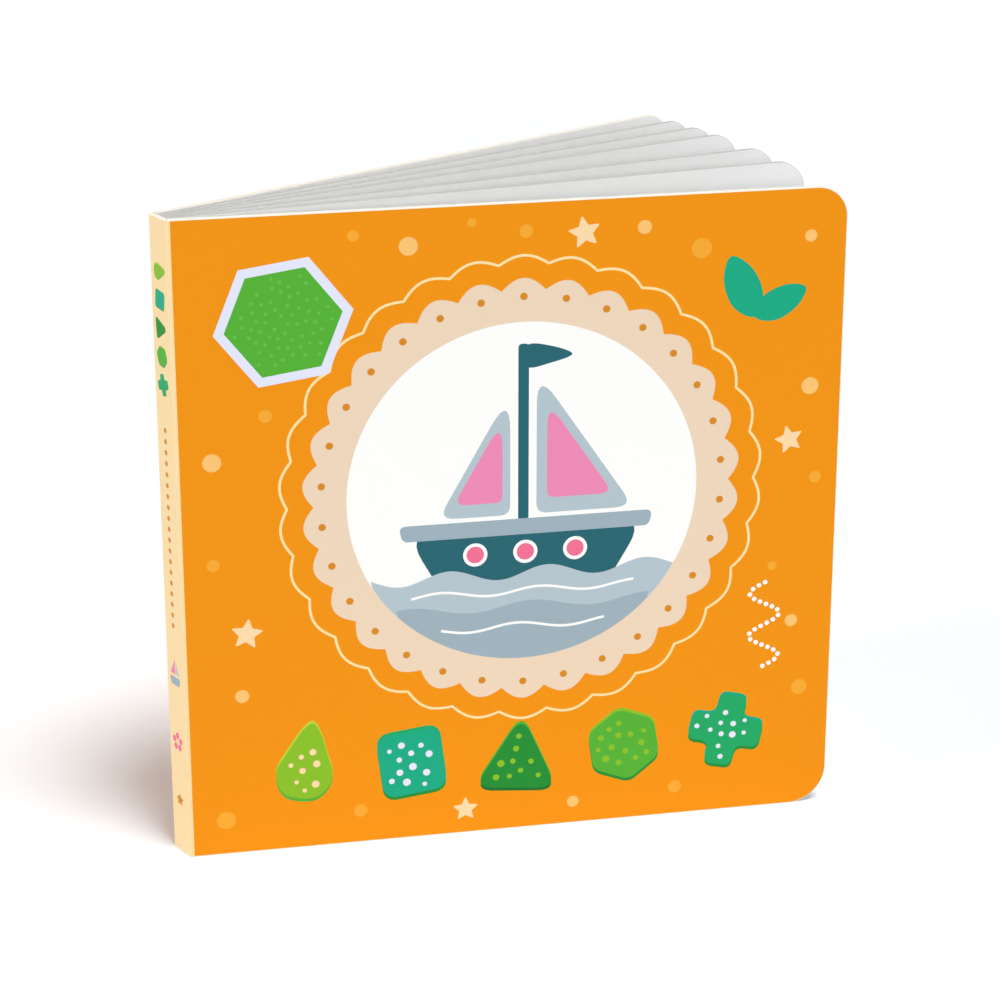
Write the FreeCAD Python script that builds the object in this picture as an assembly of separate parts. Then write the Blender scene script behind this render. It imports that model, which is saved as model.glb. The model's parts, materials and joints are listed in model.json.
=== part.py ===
"""Square board book for small children, standing on its lower edges with its leaves fanned.

One creased cover sheet makes the front cover, the spine panel and the back cover. Each cover
also has the outermost page sheet pasted inside it. The leaves between them are page sheets
pasted back to back: the sheet that faces a gutter on one leaf folds there and runs on into
the next leaf, so all the leaves are one piece. The backs of the folds are glued side by side
to the inside of the spine panel, and the glue sinks a little between them. The covers swing
on the two creases of the cover sheet, which bend round the outer corners of the spine. The
leaves and the covers are die-cut together, so they share their height and rounded corners.

The book is laid out in plan, seen from above, and every board is raised from its plan outline.
While it is laid out, the plan starts where the outsides of the front cover and the spine would
meet: +X runs along the front cover to its fore edge and +Y goes into the book. The finished
solids are then moved so that the origin is the middle of the footprint, on the surface that
the book stands on. +Z is up.
"""

import FreeCAD
import Part

import math
import os

from FreeCAD import Vector

# Driving dimensions, in millimetres
BOOK_HEIGHT = 150.0
COVER_WIDTH = 150.8  # from the outside of the spine to the fore edge
WRAP_BOARD = 1.1  # the cover sheet by itself, as it shows at the spine
PAGE_SHEET = 0.475  # one page sheet: a leaf is two of them
HEAD_CORNER_RADIUS = 7.0
FOOT_CORNER_RADIUS = 9.0
CREASE_RADIUS = 0.8  # the outside of the cover sheet's bend

# Driving angles, in degrees. A fan angle is how far a board is opened from the one in front
# of it, from the front cover to the back cover.
FAN_ANGLES = (8.7, 5.1, 5.9, 3.1, 3.0, 2.8)
FRONT_COVER_ANGLE = 23.0  # the front cover, from square to the spine

# Clearances
COVER_CLEARANCE = 0.15  # a cover's inside to the outer leaf, when it is shut on it
CREASE_PLAY_ANGLE = 0.6  # degrees left open in a crease's inner V when the cover is shut
GLUE_DIP = 0.25  # how far the glue sinks between the backs of two folds

# Boards and depths that follow, the depths being counted from the outside of the spine
COVER_BOARD = WRAP_BOARD + PAGE_SHEET
LEAF_BOARD = 2 * PAGE_SHEET
FOLD_DEPTH = WRAP_BOARD  # the backs of the folds, on the inside of the spine panel
GUTTER_DEPTH = FOLD_DEPTH + PAGE_SHEET  # the gutters, where the leaves part
LEAF_LENGTH = COVER_WIDTH - GUTTER_DEPTH

# Plan directions that follow, as angles from the front cover's
SQUARE_ANGLE = FRONT_COVER_ANGLE
SPINE_ANGLE = SQUARE_ANGLE + 90.0
BOARD_ANGLES = [sum(FAN_ANGLES[:count]) for count in range(len(FAN_ANGLES) + 1)]
LEAF_ANGLES = BOARD_ANGLES[1:-1]
BACK_COVER_ANGLE = BOARD_ANGLES[-1]


def sine(angle):
    return math.sin(math.radians(angle))


def cosine(angle):
    return math.cos(math.radians(angle))


def heading(angle):
    """Unit vector in plan, at an angle from the front cover's direction."""
    return Vector(cosine(angle), sine(angle), 0)


def behind(angle):
    """Unit vector in plan across a board, towards the back of the book."""
    return heading(angle + 90.0)


class Crease:
    """A bend of the cover sheet, where a cover meets the spine panel.

    Both boards end alike at a crease, so it is worked out once, along a board from the corner
    that the two outsides would meet in, and in depth from the board's outside. A V opens
    inwards from the middle of the bend, so that the cover can shut on the outer leaf.
    """

    def __init__(self, corner_angle, closing_angle):
        half = corner_angle / 2
        self.bend_start = CREASE_RADIUS / math.tan(math.radians(half))
        self.middle_along = self.bend_start - CREASE_RADIUS * cosine(half)
        self.middle_depth = CREASE_RADIUS * (1 - sine(half))
        self.quarter_along = self.bend_start - CREASE_RADIUS * cosine((half + 90.0) / 2)
        self.quarter_depth = CREASE_RADIUS * (1 - sine((half + 90.0) / 2))
        self.side_angle = half - (closing_angle + CREASE_PLAY_ANGLE) / 2

    def inner_root(self, board):
        """How far along a board of this thickness the V starts on its inside."""
        rise = board - self.middle_depth
        return self.middle_along + rise / math.tan(math.radians(self.side_angle))

    def first_gutter(self, lean):
        """Distance along the spine to the outer leaf's gutter, for the cover to shut on it.

        lean is how far the leaf leans towards the cover, from square to the spine.
        """
        room = COVER_BOARD - self.middle_depth + COVER_CLEARANCE
        depths = (FOLD_DEPTH - self.middle_depth, GUTTER_DEPTH - self.middle_depth)
        return self.middle_along + max((room - depth * sine(lean)) / cosine(lean) for depth in depths)

    def bend(self, place):
        """Half of the bend, from its middle to the flat outside of a board."""
        middle = place(self.middle_along, self.middle_depth)
        quarter = place(self.quarter_along, self.quarter_depth)
        return Part.Arc(middle, quarter, place(self.bend_start, 0.0))


FRONT_CREASE = Crease(SPINE_ANGLE, FAN_ANGLES[0])
BACK_CREASE = Crease(180.0 - SPINE_ANGLE + BACK_COVER_ANGLE, FAN_ANGLES[-1])


def gutter_places():
    """Distance of each gutter along the spine, from the one in front of the first leaf."""
    places = [FRONT_CREASE.first_gutter(SQUARE_ANGLE - LEAF_ANGLES[0])]
    for angle in LEAF_ANGLES:
        places.append(places[-1] + LEAF_BOARD / sine(SPINE_ANGLE - angle))
    return places


GUTTERS = gutter_places()
SPINE_WIDTH = GUTTERS[-1] + BACK_CREASE.first_gutter(LEAF_ANGLES[-1] - SQUARE_ANGLE)


def spine_place(along, depth):
    """Plan point at a distance along the spine from its front, and a depth into the book."""
    return heading(SPINE_ANGLE) * along + heading(SQUARE_ANGLE) * depth


def spine_place_from_back(along, depth):
    return spine_place(SPINE_WIDTH - along, depth)


def front_cover_place(along, depth):
    return heading(0.0) * along + behind(0.0) * depth


def back_cover_place(along, depth):
    root = spine_place(SPINE_WIDTH, 0.0)
    return root + heading(BACK_COVER_ANGLE) * along - behind(BACK_COVER_ANGLE) * depth


def straight_edges(points):
    """Straight outline edges from each point to the next."""
    return [Part.LineSegment(start, end) for start, end in zip(points, points[1:])]


def raised(edges):
    """The solid that stands on a closed plan outline, as high as the book."""
    wires = Part.sortEdges([edge.toShape() for edge in edges])
    return Part.Face(Part.Wire(wires[0])).extrude(Vector(0, 0, BOOK_HEIGHT))


def die_cut(solid, fore_edges):
    """Rounds the head and foot corners of boards, given the plan points of their fore edges."""
    for radius, height in ((HEAD_CORNER_RADIUS, BOOK_HEIGHT), (FOOT_CORNER_RADIUS, 0.0)):
        middles = [(front + rear) * 0.5 + Vector(0, 0, height) for front, rear in fore_edges]
        corners = [
            edge
            for edge in solid.Edges
            if any(edge.CenterOfMass.isEqual(middle, 1e-4) for middle in middles)
        ]
        solid = solid.makeFillet(radius, corners)
    return solid


def cover(crease, place):
    """A cover, from the bend that it swings on to its fore edge."""
    outer_fore_edge = place(COVER_WIDTH, 0.0)
    inner_fore_edge = place(COVER_WIDTH, COVER_BOARD)
    points = [
        place(crease.bend_start, 0.0),
        outer_fore_edge,
        inner_fore_edge,
        place(crease.inner_root(COVER_BOARD), COVER_BOARD),
        place(crease.middle_along, crease.middle_depth),
    ]
    solid = raised([crease.bend(place)] + straight_edges(points))
    return die_cut(solid, [(outer_fore_edge, inner_fore_edge)])


def front_cover():
    return cover(FRONT_CREASE, front_cover_place)


def back_cover():
    return cover(BACK_CREASE, back_cover_place)


def spine_panel():
    """The cover sheet between the two bends."""
    ends = ((FRONT_CREASE, spine_place), (BACK_CREASE, spine_place_from_back))
    edges = [crease.bend(place) for crease, place in ends]
    outside = [place(crease.bend_start, 0.0) for crease, place in ends]
    inside = [place(crease.inner_root(WRAP_BOARD), WRAP_BOARD) for crease, place in ends]
    middles = [place(crease.middle_along, crease.middle_depth) for crease, place in ends]
    edges.extend(straight_edges(outside))
    edges.extend(straight_edges([middles[0]] + inside + [middles[1]]))
    return raised(edges)


def leaf_fore_edge(index):
    """Front and rear plan points of a leaf's fore edge."""
    angle = LEAF_ANGLES[index]
    front_root = spine_place(GUTTERS[index], GUTTER_DEPTH)
    rear_root = spine_place(GUTTERS[index + 1], GUTTER_DEPTH)
    middle = (front_root + rear_root) * 0.5 + heading(angle) * LEAF_LENGTH
    half = behind(angle) * (LEAF_BOARD / 2)
    return middle - half, middle + half


def half_fold(crown, half_width, side):
    """Half of a fold's back, from its crown on the spine panel to the dip beside it.

    crown is a distance along the spine, and side is +1 towards the back cover, -1 towards the
    front one. The curve leaves its crown along the spine panel.
    """
    radius = (half_width ** 2 + GLUE_DIP ** 2) / (2 * GLUE_DIP)
    sweep = math.asin(half_width / radius)

    def at(turn):
        along = crown + side * radius * math.sin(turn)
        return spine_place(along, FOLD_DEPTH + radius * (1 - math.cos(turn)))

    return Part.Arc(at(0.0), at(sweep / 2), at(sweep))


def leaves_outline():
    """Plan outline of all the leaves: a comb whose back is the row of folded page sheets."""
    points = [spine_place(GUTTERS[0], FOLD_DEPTH), spine_place(GUTTERS[0], GUTTER_DEPTH)]
    for index in range(len(LEAF_ANGLES)):
        points.extend(leaf_fore_edge(index))
        points.append(spine_place(GUTTERS[index + 1], GUTTER_DEPTH))
    points.append(spine_place(GUTTERS[-1], FOLD_DEPTH))
    edges = straight_edges(points)
    for near, far in zip(GUTTERS, GUTTERS[1:]):
        half_width = (far - near) / 2
        edges.append(half_fold(near, half_width, 1))
        edges.append(half_fold(far, half_width, -1))
    return edges


def page_block():
    fore_edges = [leaf_fore_edge(index) for index in range(len(LEAF_ANGLES))]
    return die_cut(raised(leaves_outline()), fore_edges)


NODES = {
    "front_cover": front_cover,
    "back_cover": back_cover,
    "spine_panel": spine_panel,
    "page_block": page_block,
}


def main():
    os.makedirs("parts", exist_ok=True)
    shapes = {node: make() for node, make in NODES.items()}
    extent = FreeCAD.BoundBox()
    for shape in shapes.values():
        extent.add(shape.BoundBox)
    for node, shape in shapes.items():
        if len(shape.Solids) != 1 or not shape.isValid():
            raise ValueError(f"{node} should be one valid solid")
        solid = shape.Solids[0]
        solid.translate(Vector(-extent.Center.x, -extent.Center.y, -extent.ZMin))
        solid.exportStep(f"parts/{node}.step")


main()
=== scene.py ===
import json
import math

import bmesh
import bpy
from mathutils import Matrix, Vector
from mathutils.geometry import delaunay_2d_cdt

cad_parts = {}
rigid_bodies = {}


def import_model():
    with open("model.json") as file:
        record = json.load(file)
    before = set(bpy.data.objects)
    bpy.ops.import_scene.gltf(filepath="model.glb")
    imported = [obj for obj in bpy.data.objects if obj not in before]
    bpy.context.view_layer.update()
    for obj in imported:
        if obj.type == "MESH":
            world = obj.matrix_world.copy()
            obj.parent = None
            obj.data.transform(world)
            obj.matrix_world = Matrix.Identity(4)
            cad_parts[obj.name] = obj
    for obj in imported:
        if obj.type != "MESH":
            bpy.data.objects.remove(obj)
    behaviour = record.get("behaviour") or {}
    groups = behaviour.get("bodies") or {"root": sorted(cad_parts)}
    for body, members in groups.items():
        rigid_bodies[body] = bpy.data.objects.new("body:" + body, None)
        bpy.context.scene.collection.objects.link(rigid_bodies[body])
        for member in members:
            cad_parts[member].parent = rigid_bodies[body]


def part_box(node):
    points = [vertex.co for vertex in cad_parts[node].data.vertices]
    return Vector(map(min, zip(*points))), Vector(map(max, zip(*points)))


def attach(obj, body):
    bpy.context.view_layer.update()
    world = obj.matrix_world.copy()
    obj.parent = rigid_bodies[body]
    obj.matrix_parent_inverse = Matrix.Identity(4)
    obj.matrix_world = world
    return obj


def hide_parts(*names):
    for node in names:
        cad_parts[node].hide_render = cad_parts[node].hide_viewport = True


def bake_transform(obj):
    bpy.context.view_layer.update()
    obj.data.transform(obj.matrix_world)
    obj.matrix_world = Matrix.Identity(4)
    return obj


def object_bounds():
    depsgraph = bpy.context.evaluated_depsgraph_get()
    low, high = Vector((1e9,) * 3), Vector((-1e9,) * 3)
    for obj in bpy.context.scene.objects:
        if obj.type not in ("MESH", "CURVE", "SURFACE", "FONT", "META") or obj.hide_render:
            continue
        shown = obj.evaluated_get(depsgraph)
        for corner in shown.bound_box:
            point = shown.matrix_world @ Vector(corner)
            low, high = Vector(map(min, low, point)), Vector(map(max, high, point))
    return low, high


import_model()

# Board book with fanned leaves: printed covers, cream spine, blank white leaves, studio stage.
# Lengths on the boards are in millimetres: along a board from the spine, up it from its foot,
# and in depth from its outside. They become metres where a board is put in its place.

bl_info = {
    "name": "Board book",
    "version": (1, 0, 0),
    "blender": (4, 5, 0),
    "location": "View3D > Sidebar > Board book",
    "description": "Printed covers, spine and fanned leaves around a board book's solids",
    "category": "Add Mesh",
}

CAD_LOW, CAD_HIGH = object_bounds()
COVER_LOW, COVER_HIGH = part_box("front_cover")
MM = 0.001

# The book's own angles, in degrees
FAN_ANGLES = (8.7, 5.1, 5.9, 3.1, 3.0, 2.8)  # from each board to the next one, front to back
SQUARE_ANGLE = 23.0  # square to the spine, from the front cover's direction like those below
SPINE_ANGLE = SQUARE_ANGLE + 90.0
LEAF_ANGLES = [sum(FAN_ANGLES[:count]) for count in range(1, len(FAN_ANGLES))]
BACK_ANGLE = sum(FAN_ANGLES)
CREASE_PLAY_ANGLE = 0.6  # left open in a crease's V when its cover is shut

# Small distances, in millimetres
COVER_CLEARANCE = 0.15  # a shut cover's inside to the outer leaf
CREASE_GAP = 0.01  # between two boards along a crease
FOLD_GAP = 0.05  # a cover's V to the strip of page sheet that folds over beside it
FOLD_BACK_GAP = 0.1  # the spine panel's inside to that strip's back
FOLD_SAG = 0.12  # how far the strip dips towards the hinge
FOLD_BACK_SAG = 0.1  # how far the strip's back dips
ROOT_REACH = 1.0  # how far along a leaf its slanted root reaches
FIT_TOLERANCE = 0.2  # how far a piece's box may be from its solid's


def linear(code):
    """Linear colour of an sRGB hex code."""
    parts = [int(code[start:start + 2], 16) / 255 for start in (1, 3, 5)]
    return tuple(p / 12.92 if p <= 0.04045 else ((p + 0.055) / 1.055) ** 2.4 for p in parts)


def length_property(name, description, millimetres):
    return bpy.props.FloatProperty(
        name=name, description=description, default=millimetres * MM, min=0.0,
        unit="LENGTH", precision=5,
    )


def strength_property(name, description, default):
    return bpy.props.FloatProperty(name=name, description=description, default=default, min=0.0)


def ink_property(name, description, code):
    return bpy.props.FloatVectorProperty(
        name=name, description=description, default=linear(code), min=0.0, max=1.0,
        subtype="COLOR", size=3,
    )


class BookSizes(bpy.types.PropertyGroup):
    """Sizes of the boards, which have to fit the book's solids, and of their finish."""

    height: length_property("Height", "Height of every board", (CAD_HIGH.z - CAD_LOW.z) / MM)
    cover_width: length_property("Cover width", "Outside of the spine to the fore edge", 150.8)
    wrap_board: length_property("Cover sheet", "Thickness of the cover sheet", 1.1)
    page_sheet: length_property("Page sheet", "Thickness of one page sheet", 0.475)
    head_corner: length_property("Head corner", "Radius of the corners at the head", 7.0)
    foot_corner: length_property("Foot corner", "Radius of the corners at the foot", 9.0)
    crease_radius: length_property("Crease", "Outside radius of the cover sheet's bend", 0.8)
    glue_dip: length_property("Glue dip", "How far the glue sinks between two folds", 0.25)
    cover_rim: length_property("Cover rim", "Rounding that the die leaves on a cover", 0.22)
    crease_strip: length_property("Crease strip", "Spine's colour on a cover, from the bend", 0.4)
    leaf_rim: length_property("Leaf rim", "Rounding that the die leaves on a leaf", 0.11)
    seam: length_property("Seam", "Depth of the glue line between two sheets", 0.05)


class PrintSizes(bpy.types.PropertyGroup):
    """Sizes of the print on the front cover."""

    doily: length_property("Doily", "Radius of the scalloped cream disc", 50.0)
    scallop: length_property("Scallop", "How far a scallop stands out", 2.6)
    ring: length_property("Ring", "Width of the cream round the window", 10.0)
    line: length_property("Line", "Width of the wavy line round the disc", 0.6)
    bead: length_property("Bead", "Diameter of a bead in the ring", 1.7)
    block: length_property("Toy block", "Height of one toy block", 17.0)
    wave_dot: length_property("Wave dot", "Diameter of a dot in the dotted wave", 1.15)


class PrintColours(bpy.types.PropertyGroup):
    """Inks of the covers and the spine, and the colours of the bare board."""

    orange: ink_property("Orange", "Field of both covers", "#F19301")
    pale_dot: ink_property("Pale dot", "Larger dots on the field", "#FAC473")
    faint_dot: ink_property("Faint dot", "Softer dots on the field", "#F5A931")
    star: ink_property("Star", "Stars on the field, and the drop's dots", "#FBDAA9")
    cream: ink_property("Cream", "Scalloped disc", "#EDD6BB")
    loop: ink_property("Loop", "Wavy line round the disc", "#FDE3A6")
    ochre: ink_property("Ochre", "Beads of the disc, and the spine's dots and star", "#D8891A")
    white: ink_property("White", "Window, foam, portholes' rims and dotted wave", "#FDFDFB")
    spine_cream: ink_property("Spine cream", "Field of the spine", "#FBDDA8")
    teal: ink_property("Teal", "Square block and the pair of leaves", "#12AA82")
    green: ink_property("Green", "Six-sided block and the tile", "#53B033")
    lime: ink_property("Lime", "Drop block and some blocks' dots", "#87BE25")
    forest: ink_property("Forest", "Three-sided block and some blocks' dark edges", "#1E8C32")
    pale_lime: ink_property("Pale lime", "Light edge of the drop block", "#B5D334")
    light_green: ink_property("Light green", "Dots of the tile", "#62BC46")
    deep_green: ink_property("Deep green", "Dark edge of the three-sided block", "#14702A")
    sea_green: ink_property("Sea green", "Cross block", "#1BA864")
    deep_teal: ink_property("Deep teal", "Hull, mast and pennant", "#24646F")
    mist: ink_property("Mist", "Farther sea and the sails' edges", "#B3C4CD")
    slate: ink_property("Slate", "Nearer sea and the boat's rail", "#9DB1BC")
    pink: ink_property("Pink", "Sails", "#EC8AB6")
    rose: ink_property("Rose", "Portholes, and the spine's flower", "#EF7195")
    lavender: ink_property("Lavender", "Border of the tile and some blocks' dots", "#E4E7F9")
    page_white: ink_property("Page white", "Blank coated pages", "#FAFAF9")
    cover_core: ink_property("Cover core", "Cut edges of the covers", "#FBF5E9")
    # Leaf core: grey board, darkened further so that each leaf's top edge paints a shade line between
    # the fanned pages
    leaf_core: ink_property("Leaf core", "Cut edges of the leaves", "#C8C8C4")


class StageSettings(bpy.types.PropertyGroup):
    """Lights, floor and camera."""

    key_strength: strength_property("Key light", "High light that casts the shadow", 2.3)
    front_strength: strength_property("Front light", "Low light from the camera's side", 0.47)
    spine_strength: strength_property("Spine light", "Low light on the spine's side", 1.25)
    back_strength: strength_property("Back light", "Light on the back cover, not the floor", 0.9)
    ambient: strength_property("Room light", "Even light from all round", 0.16)
    floor_lift: strength_property("Floor lift", "White that only the camera sees on the floor", 0.18)
    lens: bpy.props.FloatProperty(
        name="Lens", description="Focal length", default=107.94, min=1.0, unit="CAMERA")


def add_node(tree, kind, links=None, **settings):
    """Adds a node, sets its settings, and sets or links its inputs by name or number."""
    node = tree.nodes.new(kind)
    for name, value in settings.items():
        setattr(node, name, value)
    for socket, value in (links or {}).items():
        target = node.inputs[socket]
        if isinstance(value, bpy.types.NodeSocket):
            tree.links.new(value, target)
        else:
            target.default_value = value
    return node


# Materials


def empty_nodes(owner):
    """The node tree of a new material or world, with nothing in it yet."""
    owner.use_nodes = True
    owner.node_tree.nodes.clear()
    return owner.node_tree


def new_material(name):
    """A node material, its tree, and the output that gives a point's place on the piece."""
    material = bpy.data.materials.new(name)
    tree = empty_nodes(material)
    return material, tree, add_node(tree, "ShaderNodeTexCoord").outputs["Object"]


def close_material(tree, inputs):
    """Ends a material in a Principled shader."""
    shader = add_node(tree, "ShaderNodeBsdfPrincipled", inputs)
    add_node(tree, "ShaderNodeOutputMaterial", {"Surface": shader.outputs[0]})


def laminated_print(name, colour):
    """Offset ink under a matte film: an even colour, a soft broad sheen, and the film's skin."""
    material, tree, place = new_material("Laminated print " + name)
    # The film's skin has cells of about 0.7 mm, and its gloss drifts over about 12 mm
    cells = add_node(tree, "ShaderNodeTexNoise", {
        "Vector": place, "Scale": 1 / 0.0007, "Detail": 2.0})
    drift = add_node(tree, "ShaderNodeTexNoise", {
        "Vector": place, "Scale": 1 / 0.012, "Detail": 3.0})
    gloss = add_node(tree, "ShaderNodeMapRange", {
        "Value": drift.outputs[0], "From Min": 0.3, "From Max": 0.7, "To Min": 0.36, "To Max": 0.46})
    relief = add_node(tree, "ShaderNodeBump", {
        "Height": cells.outputs[0], "Strength": 0.25, "Distance": 0.00001})
    # Polypropylene film, matte side out, which reflects less than bare plastic
    close_material(tree, {
        "Base Color": (*colour, 1.0), "IOR": 1.49, "Specular IOR Level": 0.16,
        "Roughness": gloss.outputs[0], "Normal": relief.outputs[0]})
    return material


def coated_page(name, colour):
    """White coated board: smooth clay coating with a faint fibre cloud under its varnish."""
    material, tree, place = new_material("Coated board " + name)
    # Fibre cloud of about 3 mm, barely darker than the coating, and a grain of 0.5 mm
    cloud = add_node(tree, "ShaderNodeTexNoise", {
        "Vector": place, "Scale": 1 / 0.003, "Detail": 4.0})
    grain = add_node(tree, "ShaderNodeTexNoise", {
        "Vector": place, "Scale": 1 / 0.0005, "Detail": 2.0})
    shade = add_node(tree, "ShaderNodeMapRange", {
        "Value": cloud.outputs[0], "From Min": 0.35, "From Max": 0.65, "To Min": 0.985, "To Max": 1.0})
    tint = add_node(tree, "ShaderNodeVectorMath", {0: colour, "Scale": shade.outputs[0]},
                    operation="SCALE")
    gloss = add_node(tree, "ShaderNodeMapRange", {
        "Value": cloud.outputs[0], "From Min": 0.3, "From Max": 0.7, "To Min": 0.42, "To Max": 0.55})
    relief = add_node(tree, "ShaderNodeBump", {
        "Height": grain.outputs[0], "Strength": 0.3, "Distance": 0.00001})
    close_material(tree, {
        "Base Color": tint.outputs[0], "IOR": 1.5, "Specular IOR Level": 0.3,
        "Roughness": gloss.outputs[0], "Normal": relief.outputs[0]})
    return material


def board_core(name, colour):
    """Cut edge of solid bleached board: bare pressed fibre in fine layers, quite matte."""
    material, tree, place = new_material("Cut board " + name)
    depth = add_node(tree, "ShaderNodeAttribute", attribute_name="board_depth").outputs["Fac"]
    # Layers of about 0.09 mm across the board, drawn out to about 4 mm along it
    along = add_node(tree, "ShaderNodeVectorMath", {0: place, "Scale": 1 / 0.004}, operation="SCALE")
    across = add_node(tree, "ShaderNodeMath", {0: depth, 1: 1 / 0.00009}, operation="MULTIPLY")
    shift = add_node(tree, "ShaderNodeCombineXYZ", {axis: across.outputs[0] for axis in "XYZ"})
    stretched = add_node(tree, "ShaderNodeVectorMath", {0: along.outputs[0], 1: shift.outputs[0]},
                         operation="ADD")
    layers = add_node(tree, "ShaderNodeTexNoise", {
        "Vector": stretched.outputs[0], "Scale": 1.0, "Detail": 3.0})
    shade = add_node(tree, "ShaderNodeMapRange", {
        "Value": layers.outputs[0], "From Min": 0.3, "From Max": 0.7, "To Min": 0.88, "To Max": 1.0})
    tint = add_node(tree, "ShaderNodeVectorMath", {0: colour, "Scale": shade.outputs[0]},
                    operation="SCALE")
    relief = add_node(tree, "ShaderNodeBump", {
        "Height": layers.outputs[0], "Strength": 0.5, "Distance": 0.00002})
    close_material(tree, {
        "Base Color": tint.outputs[0], "IOR": 1.5, "Specular IOR Level": 0.15, "Roughness": 0.9,
        "Normal": relief.outputs[0]})
    return material


def material_for(key):
    """The material of an ink, a page or a cut edge, made once from the scene's colours."""
    made = [m for m in bpy.data.materials if m.get("book_key") == key]
    if made:
        return made[0]
    colour = tuple(getattr(bpy.context.scene.book_colours, key))
    # The leaves' cut edges get a grey that is partly the board's own and partly painted shade
    makers = {"page_white": coated_page, "cover_core": board_core, "leaf_core": board_core}
    maker = makers.get(key, laminated_print)
    material = maker(key.replace("_", " "), colour)
    material["book_key"] = key
    return material


# Plan geometry of the book


def unit(angle):
    return Vector((math.cos(math.radians(angle)), math.sin(math.radians(angle))))


def cot(angle):
    return 1 / math.tan(math.radians(angle))


class Plan:
    """The book's plan, in millimetres from where the outsides of cover and spine would meet."""

    def __init__(self, sizes):
        self.height = sizes.height / MM
        self.width = sizes.cover_width / MM
        self.wrap = sizes.wrap_board / MM
        self.sheet = sizes.page_sheet / MM
        self.cover = self.wrap + self.sheet
        self.leaf = 2 * self.sheet
        self.gutter_depth = self.wrap + self.sheet
        self.leaf_length = self.width - self.gutter_depth
        self.front = Crease(self, sizes, SPINE_ANGLE, FAN_ANGLES[0])
        self.back = Crease(self, sizes, 180.0 - SPINE_ANGLE + BACK_ANGLE, FAN_ANGLES[-1])
        self.gutters = [self.front.first_gutter(SQUARE_ANGLE - LEAF_ANGLES[0])]
        for angle in LEAF_ANGLES:
            step = self.leaf / math.sin(math.radians(SPINE_ANGLE - angle))
            self.gutters.append(self.gutters[-1] + step)
        self.spine = self.gutters[-1] + self.back.first_gutter(LEAF_ANGLES[-1] - SQUARE_ANGLE)
        self.corner = Vector((COVER_HIGH.x / MM - self.width, COVER_LOW.y / MM))
        # Each cover's crease, the placing of its points, and its gutter along the spine
        self.covers = {
            "front_cover": (self.front, self.front_place, self.gutters[0]),
            "back_cover": (self.back, self.back_place, self.gutters[-1]),
        }

    def spine_point(self, along, depth):
        return self.corner + unit(SPINE_ANGLE) * along + unit(SQUARE_ANGLE) * depth

    def front_place(self, along, up, depth):
        point = self.corner + Vector((along, depth))
        return Vector((*point, up)) * MM

    def back_place(self, along, up, depth):
        root = self.spine_point(self.spine, 0.0)
        point = root + unit(BACK_ANGLE) * along - unit(BACK_ANGLE + 90.0) * depth
        return Vector((*point, up)) * MM

    def spine_place(self, along, up, depth):
        return Vector((*self.spine_point(along, depth), up)) * MM


class Crease:
    """A bend of the cover sheet and the V behind it, along and in depth from a board's end."""

    def __init__(self, plan, sizes, corner_angle, closing_angle):
        half = corner_angle / 2
        self.plan = plan
        self.radius = sizes.crease_radius / MM
        self.start = self.radius * cot(half)
        self.middle_along = self.start - self.radius * math.cos(math.radians(half))
        self.middle_depth = self.radius * (1 - math.sin(math.radians(half)))
        self.side_angle = half - (closing_angle + CREASE_PLAY_ANGLE) / 2

    def end(self, depth):
        """Where a board ends at this depth: round the bend, then back along the V."""
        if depth <= self.middle_depth:
            bend = math.sqrt(self.radius ** 2 - (self.radius - depth) ** 2)
            return self.start - bend + CREASE_GAP
        opening = (depth - self.middle_depth) * cot(self.side_angle)
        return self.middle_along + opening + CREASE_GAP

    def first_gutter(self, lean):
        """Distance along the spine to the outer leaf's gutter, for the cover to shut on it."""
        plan = self.plan
        room = plan.cover - self.middle_depth + COVER_CLEARANCE
        sine, cosine = math.sin(math.radians(lean)), math.cos(math.radians(lean))
        depths = (plan.wrap - self.middle_depth, plan.gutter_depth - self.middle_depth)
        return self.middle_along + max((room - depth * sine) / cosine for depth in depths)


# Boards


def arc_points(centre, radius, start, count):
    """Points of a quarter turn anticlockwise from an angle in degrees, both ends included."""
    angles = [math.radians(start + 90.0 * step / count) for step in range(count + 1)]
    return [(centre[0] + radius * math.cos(a), centre[1] + radius * math.sin(a)) for a in angles]


def die_cut_outline(plan, sizes, length, end, rim, strip=None, corner_steps=18):
    """Outline of a cover or a leaf at a depth, drawn in by the rim's rounding.

    end gives where the board starts at a depth, and strip is how far from there the crease's
    strip ends. The ring runs from the foot of its root, round the fore edge, to the head of its
    root.
    """
    height = plan.height
    foot, head = sizes.foot_corner / MM, sizes.head_corner / MM

    def outline(depth, inset):
        root = end(depth) + max(0.0, inset - rim)
        foot_of_root = [(root, inset)]
        head_of_root = [(root, height - inset)]
        if strip is not None:
            foot_of_root.append((strip, inset))
            head_of_root.insert(0, (strip, height - inset))
        ring = arc_points((length - foot, foot), foot - inset, -90.0, corner_steps)
        ring += arc_points((length - head, height - head), head - inset, 0.0, corner_steps)
        return foot_of_root + ring + head_of_root

    return outline


def board_levels(board, rim, bend=0.0, seams=(), seam_depth=0.0, guard=0.17):
    """Depth and inset of each ring of a board, from inside its outer face to its inner face.

    The rims are rounded by the die, and bend is the depth of a crease's bend, which gets rings
    of its own. A seam is a glue line, drawn in by seam_depth. guard is a flat strip inside each
    rim, which keeps the rim's shading off the face.
    """
    depths = {rim * share for share in (0.0, 0.13, 0.5, 1.0)}
    depths |= {board - depth for depth in depths}
    depths |= {bend * share for share in (0.1, 0.35, 1.0)}
    dips = {seam: seam_depth for seam in seams}
    depths |= {seam + shift for seam in seams for shift in (-seam_depth, 0.0, seam_depth)}
    levels = [(0.0, rim + guard)]
    for depth in sorted(depths):
        cover = min(rim, depth, board - depth)
        inset = rim - math.sqrt(rim ** 2 - (rim - cover) ** 2)
        levels.append((depth, inset + dips.get(depth, 0.0)))
    levels.append((board, rim + guard))
    return levels


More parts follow.
